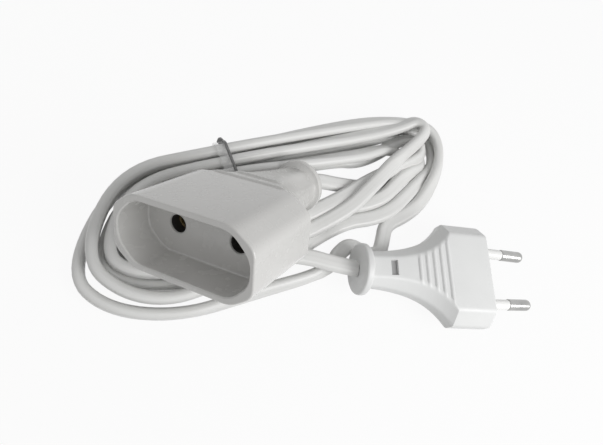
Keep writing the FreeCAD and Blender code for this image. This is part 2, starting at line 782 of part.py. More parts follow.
straight = size("cord_width")
hank_start = points[0] - directions[0] * straight
hank_end = points[-1] + directions[-1] * straight
edges = [Part.LineSegment(hank_start, points[0]).toShape()]
hank_radii = []
for count in range(len(points) - 1):
    for edge, radius in biarc(points[count], directions[count], points[count + 1], directions[count + 1]):
        edges.append(edge)
        if radius:
            hank_radii.append(radius)
edges.append(Part.LineSegment(points[-1], hank_end).toShape())
hank_path = Part.Wire(edges)


def least_gap(path_edges):
    """The least distance between cord surfaces that aren't neighbours along the cord."""
    step = 1.5
    samples = []
    run = 0.0
    reach = (size("cord_width") - size("cord_thickness")) / 2
    for edge in path_edges:
        count = max(1, int(edge.Length / step))
        for k in range(count):
            at = edge.valueAt(edge.getParameterByLength(edge.Length * k / count))
            for share in (-1, -0.5, 0, 0.5, 1):
                samples.append((run + edge.Length * k / count, at + UP * (reach * share)))
        run += edge.Length
    cell = size("cord_thickness") + 2
    grid = {}
    for along, at in samples:
        key = (int(at.x // cell), int(at.y // cell), int(at.z // cell))
        grid.setdefault(key, []).append((along, at))
    least = cell
    where = None
    for (x, y, z), members in grid.items():
        near = []
        for dx in (-1, 0, 1):
            for dy in (-1, 0, 1):
                for dz in (-1, 0, 1):
                    near += grid.get((x + dx, y + dy, z + dz), [])
        for along, at in members:
            for other, there in near:
                if abs(other - along) > 3 * cell:
                    distance = at.distanceToPoint(there)
                    if distance < least:
                        least = distance
                        where = at
    return least - size("cord_thickness"), where


gap, gap_place = least_gap(edges)
print("hank length", round(hank_path.Length, 1), "least radius", round(min(hank_radii), 1))
print("hank least gap", round(gap, 2), "at", gap_place)

hank_tube = swept(flat_section(hank_start, directions[0]), hank_path)
print("hank volume", round(hank_tube.Volume), "section times length",
      round(Part.Face(flat_section(hank_start, directions[0])).Area * hank_path.Length))
hank_box = hank_tube.BoundBox
depth = size("cord_width")
under = Part.makeBox(
    hank_box.XLength + 2 * depth, hank_box.YLength + 2 * depth, depth,
    Vector(hank_box.XMin - depth, hank_box.YMin - depth, -depth)
)
node(feature("hank", hank_tube.cut(under)), "cord_hank")

# The two free leads

lead_height = points[0].z
plug_lead_points = [
    Vector(plug_back, 0, axis_height),
    Vector(plug_back - 11, 0, axis_height),
    Vector(plug_back - 23, -2.0, axis_height - 0.1),
    Vector(plug_back - 34, -5.2, lead_height + 0.05),
    hank_start - directions[0] * straight,
    hank_start,
]
plug_lead_path = tangent_route(plug_lead_points, "plug_lead")
node(feature("plug_lead", swept(flat_section(plug_lead_points[0], Vector(-1, 0, 0)), plug_lead_path)), "plug_lead")

coupler_exit = coupler_place.multVec(Vector(size("coupler_total_length"), 0, 0))
coupler_axis = coupler_place.Rotation.multVec(Vector(1, 0, 0))
coupler_lead_points = [
    hank_end,
    hank_end + directions[-1] * 7,
    Vector(-12.6, 49.9, points[-1].z),
    Vector(-8.6, 47.4, points[-1].z),
    Vector(-8.9, 42.8, points[-1].z),
    Vector(-13.6, 40.5, 7.6),
    Vector(-20.0, 40.2, 6.2),
    Vector(-27.5, 39.0, 4.4),
    Vector(-36.0, 36.2, 2.9),
    coupler_exit + coupler_axis * 8,
    coupler_exit,
]
coupler_lead_path = tangent_route(coupler_lead_points, "coupler_lead")
coupler_lead_start = flat_section(coupler_lead_points[0], directions[-1])
node(feature("coupler_lead", swept(coupler_lead_start, coupler_lead_path)), "coupler_lead")

# The tie: a narrow band round the far side of the hank, with its ends twisted together

band_width = 2 * lane + size("cord_thickness") + 2 * size("tie_clearance")
band_height = layer + size("cord_width") + 2 * size("tie_clearance")
tie_middle = inward("tie", lane, low + tie_lift + layer / 2)
tie_heading = headings["tie"]
tie_place = Placement(
    tie_middle, Rotation(tie_heading, UP.cross(tie_heading), UP, "ZXY")
)
band = doc.addObject("PartDesign::Body", "band")
across = "(2 * ({cord_thickness} + {cord_gap} + {lane_slack}) + {cord_thickness} + 2 * {tie_clearance})"
upright = "(2 * {cord_width} + {cord_gap} + 2 * {tie_clearance})"
band_outer = octagon(
    band, "band_outer", "-{tie_width} / 2", across + " + 2 * {tie_thickness}", upright + " + 2 * {tie_thickness}",
    "{cord_corner}", "{cord_corner}"
)
extrude(band, "Pad", "band_pad", band_outer, "{tie_width}", False)
band_inner = octagon(
    band, "band_inner", "-{tie_width} / 2", across, upright, "{cord_corner} - {tie_clearance}",
    "{cord_corner} - {tie_clearance}"
)
extrude(band, "Pocket", "band_pocket", band_inner, "{tie_width}", True)
band.Placement = tie_place
doc.recompute()
node(band, "tie_band")

TWIST_STEPS = 3
TWIST_STEP_ANGLE = 30
tail_root = Vector(0, band_width / 2 + size("tie_thickness"), band_height / 4)
tail_sections = []
for count in range(TWIST_STEPS + 1):
    turn = math.radians(TWIST_STEP_ANGLE * count)
    centre = tail_root + Vector(0, size("tie_tail_length") * count / TWIST_STEPS, 0)
    corners = []
    for x, z in ((1, 1), (-1, 1), (-1, -1), (1, -1)):
        px = x * size("tie_tail_width") / 2
        pz = z * size("tie_tail_thickness") / 2
        corners.append(centre + Vector(
            px * math.cos(turn) - pz * math.sin(turn), 0, px * math.sin(turn) + pz * math.cos(turn)
        ))
    tail_sections.append(Part.makePolygon(corners + [corners[0]]))
tail = feature("tail", Part.makeLoft(tail_sections, True, True))
tail.Placement = tie_place
node(tail, "tie_twist")

# Check and export

doc.recompute()
failed = [item.Name for item in doc.Objects if "Invalid" in item.State or "Error" in item.State]
if failed:
    raise RuntimeError("failed objects: " + ", ".join(failed))
os.makedirs("parts", exist_ok=True)
for item in nodes:
    shape = item.Shape
    if shape.isNull() or not shape.isValid() or not shape.Solids:
        raise RuntimeError("bad shape: " + item.Label)
    shape.exportStep("parts/%s.step" % item.Label)
print(len(nodes), "nodes written")
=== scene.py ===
"""Extension cord, put away as a hank: flat two-pin plug, flat two-core cord and a two-hole coupler.

Sizes and places are in millimetres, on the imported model's axes. Its origin is the middle of the
plug's footprint on the table, and the pins run along +X.
"""
import math

import bmesh
import bpy
from mathutils import Matrix, Vector


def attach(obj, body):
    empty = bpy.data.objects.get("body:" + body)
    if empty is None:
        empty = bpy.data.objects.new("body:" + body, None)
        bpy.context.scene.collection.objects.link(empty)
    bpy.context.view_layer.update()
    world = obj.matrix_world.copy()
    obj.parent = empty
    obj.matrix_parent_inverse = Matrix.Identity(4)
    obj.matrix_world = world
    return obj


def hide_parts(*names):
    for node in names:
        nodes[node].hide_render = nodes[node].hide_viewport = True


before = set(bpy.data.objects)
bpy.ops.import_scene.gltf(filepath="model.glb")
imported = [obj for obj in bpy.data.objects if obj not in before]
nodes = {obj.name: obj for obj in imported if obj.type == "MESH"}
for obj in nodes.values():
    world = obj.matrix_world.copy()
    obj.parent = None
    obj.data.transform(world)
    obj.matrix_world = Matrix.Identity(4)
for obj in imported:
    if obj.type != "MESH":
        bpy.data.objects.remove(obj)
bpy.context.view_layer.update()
MM = 0.001

# The two contact pins are brass turned on a lathe and nickel plated. Each is a 4 mm rod with a
# rounded tip, thinner under its sleeve, with a collar and a crimp bore that the plug hides. The
# two lean a little towards each other.

PLUG_FACE = 14.0
AXIS_HEIGHT = 8.4
SIDES = {"left": 1, "right": -1}
PIN_SPACING = 18.6
PIN_TIP_SPACING = 17.5
PIN_REACH = 19.0
PIN_RADIUS = 2.0
PIN_TIP_ROUND = 1.5
PIN_STEP = 0.1
SHANK_RADIUS = 1.45
SHANK_BACK = -12.0
COLLAR_RADIUS = 2.2
COLLAR_BACK = -5.2
COLLAR_FRONT = -4.0
CRIMP_RADIUS = 0.75
CRIMP_FLOOR = -8.0
SLEEVE_REACH = 10.0
PIN_LEAN = math.atan((PIN_SPACING - PIN_TIP_SPACING) / 2 / PIN_REACH)
plug_place = Matrix.Translation((PLUG_FACE, 0, AXIS_HEIGHT))


def pin_place(side):
    """Where a pin's axis leaves the plug's face, and how it leans."""
    root = Matrix.Translation((0, side * PIN_SPACING / 2, 0))
    return plug_place @ root @ Matrix.Rotation(-side * PIN_LEAN, 4, "Z")


def quarter(radius, steps=4):
    """Pairs of distance and inset that round off an edge, from the full inset to none."""
    angles = [math.pi / 2 * step / steps for step in range(steps + 1)]
    return [(radius - radius * math.cos(angle), radius - radius * math.sin(angle)) for angle in angles]


def turned(profile, steps):
    """A shape turned about X from (along, radius) corners."""
    shape = bmesh.new()
    corners = [shape.verts.new((along, radius, 0)) for along, radius in profile]
    edges = [shape.edges.new(pair) for pair in zip(corners, corners[1:])]
    bmesh.ops.spin(
        shape, geom=corners + edges, axis=(1, 0, 0), cent=(0, 0, 0), angle=2 * math.pi,
        steps=steps, use_merge=True,
    )
    bmesh.ops.remove_doubles(shape, verts=shape.verts, dist=1e-4)
    return shape


def piece(shape, name, place, material, crease=32):
    """A finished piece in metres: set in place, smooth shaded, riding on the one body."""
    bmesh.ops.recalc_face_normals(shape, faces=shape.faces)
    bmesh.ops.transform(shape, matrix=Matrix.Scale(MM, 4) @ place, verts=shape.verts)
    mesh = bpy.data.meshes.new(name)
    shape.to_mesh(mesh)
    shape.free()
    mesh.shade_smooth()
    mesh.set_sharp_from_angle(angle=math.radians(crease))
    mesh.materials.append(material)
    made = bpy.data.objects.new(name, mesh)
    bpy.context.collection.objects.link(made)
    made.modifiers.new("even_shading", "WEIGHTED_NORMAL").keep_sharp = True
    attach(made, "root")
    return made


def surface(name, colour, roughness, metal=0.0):
    """A new material with its shader set to plain values, which patterns then vary."""
    material = bpy.data.materials.new(name)
    material.use_nodes = True
    tree = material.node_tree
    shader = tree.nodes["Principled BSDF"]
    shader.inputs["Base Color"].default_value = (*colour, 1)
    shader.inputs["Roughness"].default_value = roughness
    shader.inputs["Metallic"].default_value = metal
    return material, tree, shader


def noise(tree, scale, detail=3.0, stretch=(1, 1, 1)):
    """A noise pattern on the object, its scale per metre."""
    place = tree.nodes.new("ShaderNodeTexCoord")
    mapping = tree.nodes.new("ShaderNodeMapping")
    mapping.inputs["Scale"].default_value = stretch
    pattern = tree.nodes.new("ShaderNodeTexNoise")
    pattern.inputs["Scale"].default_value = scale
    pattern.inputs["Detail"].default_value = detail
    tree.links.new(place.outputs["Object"], mapping.inputs["Vector"])
    tree.links.new(mapping.outputs["Vector"], pattern.inputs["Vector"])
    return pattern.outputs["Fac"]


# The part of a noise's range that nearly all of its values lie in
NOISE_LOW = 0.3
NOISE_HIGH = 0.7


def tinted(tree, shader, pattern, dark, light):
    """Colour that runs between two tones with a pattern."""
    ramp = tree.nodes.new("ShaderNodeValToRGB")
    ramp.color_ramp.elements[0].position = NOISE_LOW
    ramp.color_ramp.elements[0].color = (*dark, 1)
    ramp.color_ramp.elements[1].position = NOISE_HIGH
    ramp.color_ramp.elements[1].color = (*light, 1)
    tree.links.new(pattern, ramp.inputs["Fac"])
    tree.links.new(ramp.outputs["Color"], shader.inputs["Base Color"])


def ranged(tree, pattern, target, low, high):
    """A shader value that runs between two limits with a pattern."""
    spread = tree.nodes.new("ShaderNodeMapRange")
    spread.inputs["From Min"].default_value = NOISE_LOW
    spread.inputs["From Max"].default_value = NOISE_HIGH
    spread.inputs["To Min"].default_value = low
    spread.inputs["To Max"].default_value = high
    tree.links.new(pattern, spread.inputs["Value"])
    tree.links.new(spread.outputs["Result"], target)


def grained(tree, shader, pattern, depth, strength):
    """Fine relief from a pattern, its depth in metres."""
    relief = tree.nodes.new("ShaderNodeBump")
    relief.inputs["Distance"].default_value = depth
    relief.inputs["Strength"].default_value = strength
    tree.links.new(pattern, relief.inputs["Height"])
    tree.links.new(relief.outputs["Normal"], shader.inputs["Normal"])


def nickel():
    """Bright nickel plate with fine turning marks round the pin."""
    material, tree, shader = surface("nickel_plate", (0.44, 0.44, 0.43), 0.2, metal=1.0)
    tinted(tree, shader, noise(tree, 300), (0.38, 0.38, 0.375), (0.48, 0.48, 0.47))
    ranged(tree, noise(tree, 900, stretch=(1, 0.1, 0.1)), shader.inputs["Roughness"], 0.14, 0.3)
    grained(tree, shader, noise(tree, 4000, stretch=(1, 0.05, 0.05)), 0.00002, 0.3)
    return material


PIN_PROFILE = [
    (CRIMP_FLOOR, 0), (CRIMP_FLOOR, CRIMP_RADIUS), (SHANK_BACK, CRIMP_RADIUS), (SHANK_BACK, SHANK_RADIUS),
    (COLLAR_BACK, SHANK_RADIUS), (COLLAR_BACK, COLLAR_RADIUS),
    (COLLAR_FRONT, COLLAR_RADIUS), (COLLAR_FRONT, SHANK_RADIUS),
    (SLEEVE_REACH - PIN_STEP, SHANK_RADIUS), (SLEEVE_REACH - PIN_STEP, PIN_RADIUS - PIN_STEP),
    (SLEEVE_REACH + PIN_STEP, PIN_RADIUS),
]
for along, inset in reversed(quarter(PIN_TIP_ROUND, 6)):
    PIN_PROFILE.append((PIN_REACH - along, PIN_RADIUS - inset))
PIN_PROFILE.append((PIN_REACH, 0))
pin_metal = nickel()
for side_name, side in SIDES.items():
    pin = piece(turned(PIN_PROFILE, 48), "pin_" + side_name, pin_place(side), pin_metal)
    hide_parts("plug_pin_" + side_name)

# The sleeves are white plastic, moulded round the pins' roots so that nothing live can be touched
# while the plug is half in. The bridge behind the face holds both pins in line.

SLEEVE_BACK = -1.5
SLEEVE_BORE = 1.46
SLEEVE_RADIUS = 1.8
SLEEVE_EDGE = 0.12
SLEEVE_EDGE_LENGTH = 0.28


def moulded(name, light, dark, low_roughness, high_roughness):
    """Injection-moulded plastic: faintly cloudy, with a fine spark-eroded grain."""
    material, tree, shader = surface(name, light, low_roughness)
    tinted(tree, shader, noise(tree, 70), dark, light)
    ranged(tree, noise(tree, 260), shader.inputs["Roughness"], low_roughness, high_roughness)
    grained(tree, shader, noise(tree, 2600, detail=1.0), 0.00002, 0.08)
    shader.inputs["Specular IOR Level"].default_value = 0.45
    return material


def dress(node, material):
    """Give a CAD piece that keeps its shape its material."""
    nodes[node].data.materials.clear()
    nodes[node].data.materials.append(material)


SLEEVE_PROFILE = [
    (SLEEVE_BACK, SLEEVE_BORE), (SLEEVE_BACK, SLEEVE_RADIUS),
    (SLEEVE_REACH - SLEEVE_EDGE - SLEEVE_EDGE_LENGTH, SLEEVE_RADIUS),
    (SLEEVE_REACH - SLEEVE_EDGE, SLEEVE_RADIUS - SLEEVE_EDGE),
    (SLEEVE_REACH - PIN_STEP, SLEEVE_BORE), (SLEEVE_BACK, SLEEVE_BORE),
]
sleeve_plastic = moulded("sleeve_plastic", (0.86, 0.86, 0.85), (0.8, 0.8, 0.79), 0.28, 0.4)
for side_name, side in SIDES.items():
    sleeve = piece(
        turned(SLEEVE_PROFILE, 40), "sleeve_" + side_name, pin_place(side), sleeve_plastic
    )
    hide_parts("plug_sleeve_" + side_name)
dress("plug_bridge", moulded("bridge_plastic", (0.78, 0.78, 0.76), (0.7, 0.7, 0.68), 0.45, 0.6))

# The cores run from the cord to the pins and contacts: fine copper strands in brown and blue
# insulation, spread apart inside the grips. They stay as the CAD has them, out of sight.


def stranded_copper():
    """Bunched copper strands: long bright and dark streaks."""
    material, tree, shader = surface("copper_strands", (0.72, 0.42, 0.28), 0.3, metal=1.0)
    tinted(tree, shader, noise(tree, 2500, stretch=(0.2, 1, 1)), (0.55, 0.29, 0.18), (0.82, 0.5, 0.34))
    ranged(tree, noise(tree, 1200), shader.inputs["Roughness"], 0.25, 0.45)
    return material


copper = stranded_copper()
insulation = {
    "brown": moulded("brown_insulation", (0.2, 0.09, 0.05), (0.16, 0.07, 0.04), 0.4, 0.55),
    "blue": moulded("blue_insulation", (0.06, 0.18, 0.5), (0.05, 0.15, 0.42), 0.4, 0.55),
}
for end in ("plug", "coupler"):
    for colour, cover in insulation.items():
        dress("%s_core_%s" % (end, colour), cover)
        dress("%s_strands_%s" % (end, colour), copper)

# The plug's grip is white plastic moulded round the pins and the cord in one shot. Its head is a
# flat octagon, the neck falls away to the cord with finger ribs on both broad faces, and a round
# flange at the back gives the hand something to pull on.

PLUG_WIDTH = 35.3
PLUG_HEIGHT = 13.7
PLUG_BEVEL = 4.6
PLUG_EASE = 1.0
PLUG_HEAD = 15.0
PLUG_LENGTH = 47.0
PLUG_NECK_WIDTH = 10.4
PLUG_NECK_HEIGHT = 8.6
PLUG_NECK_BEVEL = 2.4
PLUG_NECK_EASE = 0.7
PLUG_DECAY = 9.44
PLUG_FACE_ROUND = 0.9
FACE_INNER = 9.0
PLUG_HEAD_RINGS = (5, 10, PLUG_HEAD)
PLUG_RIBS = (16.6, 19.2, 21.8, 24.4, 27.0)
RIB_HEIGHT = 0.5
RIB_INSET = 1.6
PLUG_WAIST_RINGS = (29.5, 31.5)
PLUG_NOTCH = (34.7, 37.2)
NOTCH_HALF = 2.6
NOTCH_DEPTH = 0.9
NOTCH_EDGE = 0.1
NOTCH_SLOPE = 0.15
PLUG_NECK_RINGS = (38.5, 41.5)
FLANGE_RADIUS = 8.4
FLANGE_THICKNESS = 2.6
FLANGE_ROUND = 0.8
PLUG_FLANGE_ROOT = PLUG_NECK_HEIGHT / 2 + 0.4

# A rib's section: distances from its middle, and shares of its height
RIB_RISE = ((-0.75, 0), (-0.45, 0.75), (-0.2, 1), (0.2, 1), (0.45, 0.75), (0.75, 0))

# How the flange runs out into the neck: distances in front of it, and heights above the neck
FLANGE_FILLET = ((0.05, 1.6), (0.25, 0.8), (0.8, 0.2), (1.6, 0))

# The pocket in the face that the bridge fills. Its mouth is a hair behind the face, because two
# rings in one plane don't join cleanly.
BRIDGE_WIDTH = 27.0
BRIDGE_HEIGHT = 9.0
BRIDGE_BEVEL = 2.5
BRIDGE_EASE = 0.2
BRIDGE_LENGTH = 7.5
BRIDGE_ROOM = 0.1
BRIDGE_PROUD = 0.05

# How much less than its sides an octagon's corners move when it is drawn in, as a share of the inset
OCTAGON_INSET = 2 - math.sqrt(2)
grip_plastic = moulded("grip_plastic", (0.735, 0.74, 0.735), (0.70, 0.705, 0.70), 0.32, 0.44)


def eased_outline(corners, steps=4):
    """A closed outline through (across, up, reach) corners, each rounded by a curve of that reach."""
    points = []
    for count, (across, up, reach) in enumerate(corners):
        corner = Vector((across, up))
        if not reach:
            points.append(corner)
            continue
        before = (Vector(corners[count - 1][:2]) - corner).normalized()
        after = (Vector(corners[(count + 1) % len(corners)][:2]) - corner).normalized()
        for step in range(steps + 1):
            share = step / steps
            points.append(corner + before * reach * (1 - share) ** 2 + after * reach * share ** 2)
    return points


def grip_ring(along, width, height, cut_across, cut_up, inner, reach, rib=0.0, inset=0.0):
    """One outline of a grip: an octagon with eased corners and two more points on each broad face.

    The two points lie at inner from the middle, where a rib lifts them. They stay clear of the
    eased corners, so that the outline never doubles back.
    """
    far = width / 2 - inset
    near = far - cut_across + OCTAGON_INSET * inset
    top = height / 2 - inset
    shoulder = top - cut_up + OCTAGON_INSET * inset
    upper = [
        (far, shoulder, reach), (near, top, reach), (inner, top + rib, 0),
        (-inner, top + rib, 0), (-near, top, reach), (-far, shoulder, reach),
    ]
    lower = [(-across, -up, ease) for across, up, ease in upper]
    return [(along, point.x, point.y) for point in eased_outline(upper + lower)]


def loop_edges(shape, corners):
    """The edges that close a ring of corners."""
    return [shape.edges.new(pair) for pair in zip(corners, corners[1:] + corners[:1])]


def skinned(rings):
    """A closed skin through rings of equal count."""
    shape = bmesh.new()
    loops = []
    for ring in rings:
        corners = [shape.verts.new(point) for point in ring]
        loops.append(loop_edges(shape, corners))
        if ring in (rings[0], rings[-1]):
            shape.faces.new(corners)
    for first, second in zip(loops, loops[1:]):
        bmesh.ops.bridge_loops(shape, edges=first + second)
    bmesh.ops.recalc_face_normals(shape, faces=shape.faces)
    return shape


def flange(back, root):
    """The round flange, its front running out into the neck, facing along +X from its back."""
    front = back + FLANGE_THICKNESS
    profile = [(back, 0)]
    profile += [(back + along, FLANGE_RADIUS - inset) for along, inset in quarter(FLANGE_ROUND)]
    profile += [(front - along, FLANGE_RADIUS - inset) for along, inset in reversed(quarter(FLANGE_ROUND))]
    profile += [(front + along, root + out) for along, out in FLANGE_FILLET]
    profile += [(front + FLANGE_FILLET[-1][0], 0)]
    return turned(profile, 64)


def joined(first, second):
    """Two shapes as one."""
    mesh = bpy.data.meshes.new("joined")
    second.to_mesh(mesh)
    second.free()
    first.from_mesh(mesh)
    bpy.data.meshes.remove(mesh)
    return first


def plug_ring(along, rib=0.0, inner=None, inset=0.0):
    """The plug's outline at a distance behind its face."""
    behind = max(along - PLUG_HEAD, 0)
    share = behind / (PLUG_LENGTH - FLANGE_THICKNESS - PLUG_HEAD)
    width = PLUG_NECK_WIDTH + (PLUG_WIDTH - PLUG_NECK_WIDTH) * math.exp(-behind / PLUG_DECAY)
    height = PLUG_HEIGHT + (PLUG_NECK_HEIGHT - PLUG_HEIGHT) * share
    bevel = PLUG_BEVEL + (PLUG_NECK_BEVEL - PLUG_BEVEL) * share
    ease = PLUG_EASE + (PLUG_NECK_EASE - PLUG_EASE) * share
    if inner is None:
        inner = width / 2 - bevel - RIB_INSET
    return grip_ring(-along, width, height, bevel, bevel, inner, ease, rib, inset)


def bridge_ring(along):
    """The outline of the bridge's pocket at a distance behind the plug's face."""
    width = BRIDGE_WIDTH + 2 * BRIDGE_ROOM
    height = BRIDGE_HEIGHT + 2 * BRIDGE_ROOM
    return grip_ring(-along, width, height, BRIDGE_BEVEL, BRIDGE_BEVEL, FACE_INNER, BRIDGE_EASE)


def plug_grip():
    """The whole grip as one shape, with the notch on its upper side, its floor in a darker material as
    painted shade.
    """
    rings = [bridge_ring(BRIDGE_LENGTH + BRIDGE_ROOM), bridge_ring(BRIDGE_PROUD)]
    rings += [plug_ring(along, inner=FACE_INNER, inset=inset) for along, inset in quarter(PLUG_FACE_ROUND)]
    rings += [plug_ring(along) for along in PLUG_HEAD_RINGS]
    for rib_place in PLUG_RIBS:
        rings += [plug_ring(rib_place + away, RIB_HEIGHT * share) for away, share in RIB_RISE]
    rings += [plug_ring(along) for along in PLUG_WAIST_RINGS]
    rings += [plug_ring(along, inner=NOTCH_HALF) for along in PLUG_NOTCH]
    rings += [plug_ring(along) for along in PLUG_NECK_RINGS + (PLUG_LENGTH - FLANGE_THICKNESS,)]
    shape = skinned(rings)
    notch_middle = -sum(PLUG_NOTCH) / 2
    notch_floor = []
    for face in shape.faces:
        middle = face.calc_center_median()
        if middle.z > 0 and max(abs(middle.x - notch_middle), abs(middle.y)) < NOTCH_EDGE:
            notch_floor.append(face)
    bmesh.ops.inset_region(shape, faces=notch_floor, thickness=NOTCH_EDGE, depth=0)
    bmesh.ops.inset_region(shape, faces=notch_floor, thickness=NOTCH_SLOPE, depth=-NOTCH_DEPTH)
    # The notch floor takes the second, dark grey material: painted shade in the recess.
    for face in notch_floor:
        face.material_index = 1
    return joined(shape, flange(-PLUG_LENGTH, PLUG_FLANGE_ROOT))


plug_body = piece(plug_grip(), "plug_grip", plug_place, grip_plastic)
# The dark grey second material is painted shade on the notch floor.
plug_body.data.materials.append(moulded("notch_painted_shade", (0.36, 0.36, 0.36), (0.32, 0.32, 0.32), 0.5, 0.6))
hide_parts("plug_body")

# The coupler's insert is a stiff block that carries the two slit brass contacts behind the
# round holes in the recess floor. Both stay as the CAD has them.


def contact_brass():
    """Spring brass, a little dulled, with rolling marks."""
    material, tree, shader = surface("contact_brass", (0.6, 0.46, 0.22), 0.35, metal=1.0)
    tinted(tree, shader, noise(tree, 500), (0.45, 0.33, 0.16), (0.66, 0.52, 0.27))
    ranged(tree, noise(tree, 1500, stretch=(0.1, 1, 1)), shader.inputs["Roughness"], 0.3, 0.5)
    return material


brass = contact_brass()
for side_name in SIDES:
    dress("coupler_contact_" + side_name, brass)
dress("coupler_contact_block", moulded("insert_plastic", (0.5, 0.5, 0.49), (0.46, 0.46, 0.45), 0.4, 0.55))

# The coupler's grip is moulded in the same way: a wide octagonal head with a thin rim round a
# deep recess that takes the plug's face, a flare with two cross ribs, and a flange at its back.
# It leans on the hank, its mouth up and to the near left.

COUPLER_AXES = ((0.6666, 0.5698, -0.4806), (-0.7353, 0.3965, -0.5497), (-0.1226, 0.7198, 0.6833))
COUPLER_MOUTH = (-91.5, -7.1, 38.4)
COUPLER_WIDTH = 41.2
COUPLER_HEIGHT = 20.0
COUPLER_CUT_ACROSS = 6.0
COUPLER_CUT_UP = 4.2
COUPLER_EASE = 2.2
COUPLER_HEAD = 25.5
COUPLER_LENGTH = 58.0
COUPLER_NECK_WIDTH = 12.8
COUPLER_NECK_HEIGHT = 12.6
COUPLER_NECK_CUT = 3.8
COUPLER_NECK_EASE = 1.2
COUPLER_DECAY = 10.0
COUPLER_RIM_ROUND = 0.45
COUPLER_RIB_MARGIN = 0.2
COUPLER_HEAD_RINGS = (8, 17, COUPLER_HEAD)
COUPLER_RIBS = (27.6, 32.6)
COUPLER_NECK_RINGS = (36, 39, 42, 46, 50.5, COUPLER_LENGTH - FLANGE_THICKNESS)
COUPLER_FLANGE_ROOT = COUPLER_NECK_HEIGHT / 2 + 0.5
RECESS_WIDTH = 38.6
RECESS_HEIGHT = 16.7
RECESS_CUT = 5.2
RECESS_EASE = 2.7
RECESS_INNER = 6.0
RECESS_ROUND = 0.5
RECESS_DEPTH = 10.6
MOUTH_FLARE = 0.3
MOUTH_FLARE_DEPTH = 0.35
SOCKET_RADIUS = 2.45
SOCKET_LENGTH = 12.4
SOCKET_CHAMFER = 0.35
DRILL_OVERSHOOT = 0.5

# The recess floor lies a hair in front of the insert, and so hides it
RECESS_FLOOR = RECESS_DEPTH - 0.05
coupler_turn = Matrix(COUPLER_AXES).transposed()
coupler_place = Matrix.Translation(COUPLER_MOUTH) @ coupler_turn.to_quaternion().to_matrix().to_4x4()


def glossy_grip():
    """The coupler's plastic, a little greyer and glossier than the plug's."""
    plastic = moulded("coupler_plastic", (0.6, 0.595, 0.58), (0.57, 0.565, 0.55), 0.22, 0.3)
    shader = plastic.node_tree.nodes["Principled BSDF"]
    shader.inputs["Coat Weight"].default_value = 0.5
    shader.inputs["Coat Roughness"].default_value = 0.24
    return plastic


def coupler_ring(along, rib=0.0, inset=0.0):
    """The coupler's outline at a distance in from its mouth."""
    behind = max(along - COUPLER_HEAD, 0)
    share = behind / (COUPLER_LENGTH - FLANGE_THICKNESS - COUPLER_HEAD)
    width = COUPLER_NECK_WIDTH + (COUPLER_WIDTH - COUPLER_NECK_WIDTH) * math.exp(-behind / COUPLER_DECAY)
    height = COUPLER_HEIGHT + (COUPLER_NECK_HEIGHT - COUPLER_HEIGHT) * share
    cut_across = COUPLER_CUT_ACROSS + (COUPLER_NECK_CUT - COUPLER_CUT_ACROSS) * share
    cut_up = COUPLER_CUT_UP + (COUPLER_NECK_CUT - COUPLER_CUT_UP) * share
    ease = COUPLER_EASE + (COUPLER_NECK_EASE - COUPLER_EASE) * share
    inner = width / 2 - cut_across - ease - COUPLER_RIB_MARGIN
    return grip_ring(along, width, height, cut_across, cut_up, inner, ease, rib, inset)


def recess_ring(along, inset=0.0):
    """The recess's outline at a distance in from the mouth."""
    return grip_ring(
        along, RECESS_WIDTH, RECESS_HEIGHT, RECESS_CUT, RECESS_CUT, RECESS_INNER, RECESS_EASE, inset=inset
    )


def carved(shape, tool):
    """The first shape with the second one cut out of it."""
    made = []
    for solid in (shape, tool):
        mesh = bpy.data.meshes.new("carving")
        solid.to_mesh(mesh)
        solid.free()
        made.append(bpy.data.objects.new("carving", mesh))
        bpy.context.collection.objects.link(made[-1])
    cut = made[0].modifiers.new("cut", "BOOLEAN")
    cut.operation = "DIFFERENCE"
    cut.solver = "EXACT"
    cut.object = made[1]
    bpy.context.view_layer.update()
    finished = bpy.data.meshes.new_from_object(made[0].evaluated_get(bpy.context.evaluated_depsgraph_get()))
    for helper in made:
        bpy.data.objects.remove(helper)
    result = bmesh.new()
    result.from_mesh(finished)
    bpy.data.meshes.remove(finished)
    return result


def socket_drill(side):
    """What cuts one of the round holes, with a chamfered edge, through the recess floor."""
    start = RECESS_FLOOR - DRILL_OVERSHOOT
    end = RECESS_FLOOR + SOCKET_LENGTH
    profile = [
        (start, 0), (start, SOCKET_RADIUS + SOCKET_CHAMFER + DRILL_OVERSHOOT),
        (RECESS_FLOOR + SOCKET_CHAMFER, SOCKET_RADIUS), (end, SOCKET_RADIUS), (end, 0),
    ]
    drill = turned(profile, 40)
    bmesh.ops.translate(drill, verts=drill.verts, vec=(0, side * PIN_SPACING / 2, 0))
    bmesh.ops.recalc_face_normals(drill, faces=drill.faces)
    return drill


def inside_socket(place):
    """Whether a place is inside one of the round holes, past its chamfer."""
    deep = SOCKET_CHAMFER < place.x - RECESS_FLOOR < SOCKET_CHAMFER + SOCKET_LENGTH
    beside = abs(abs(place.y) - PIN_SPACING / 2)
    return deep and max(beside, abs(place.z)) < SOCKET_RADIUS


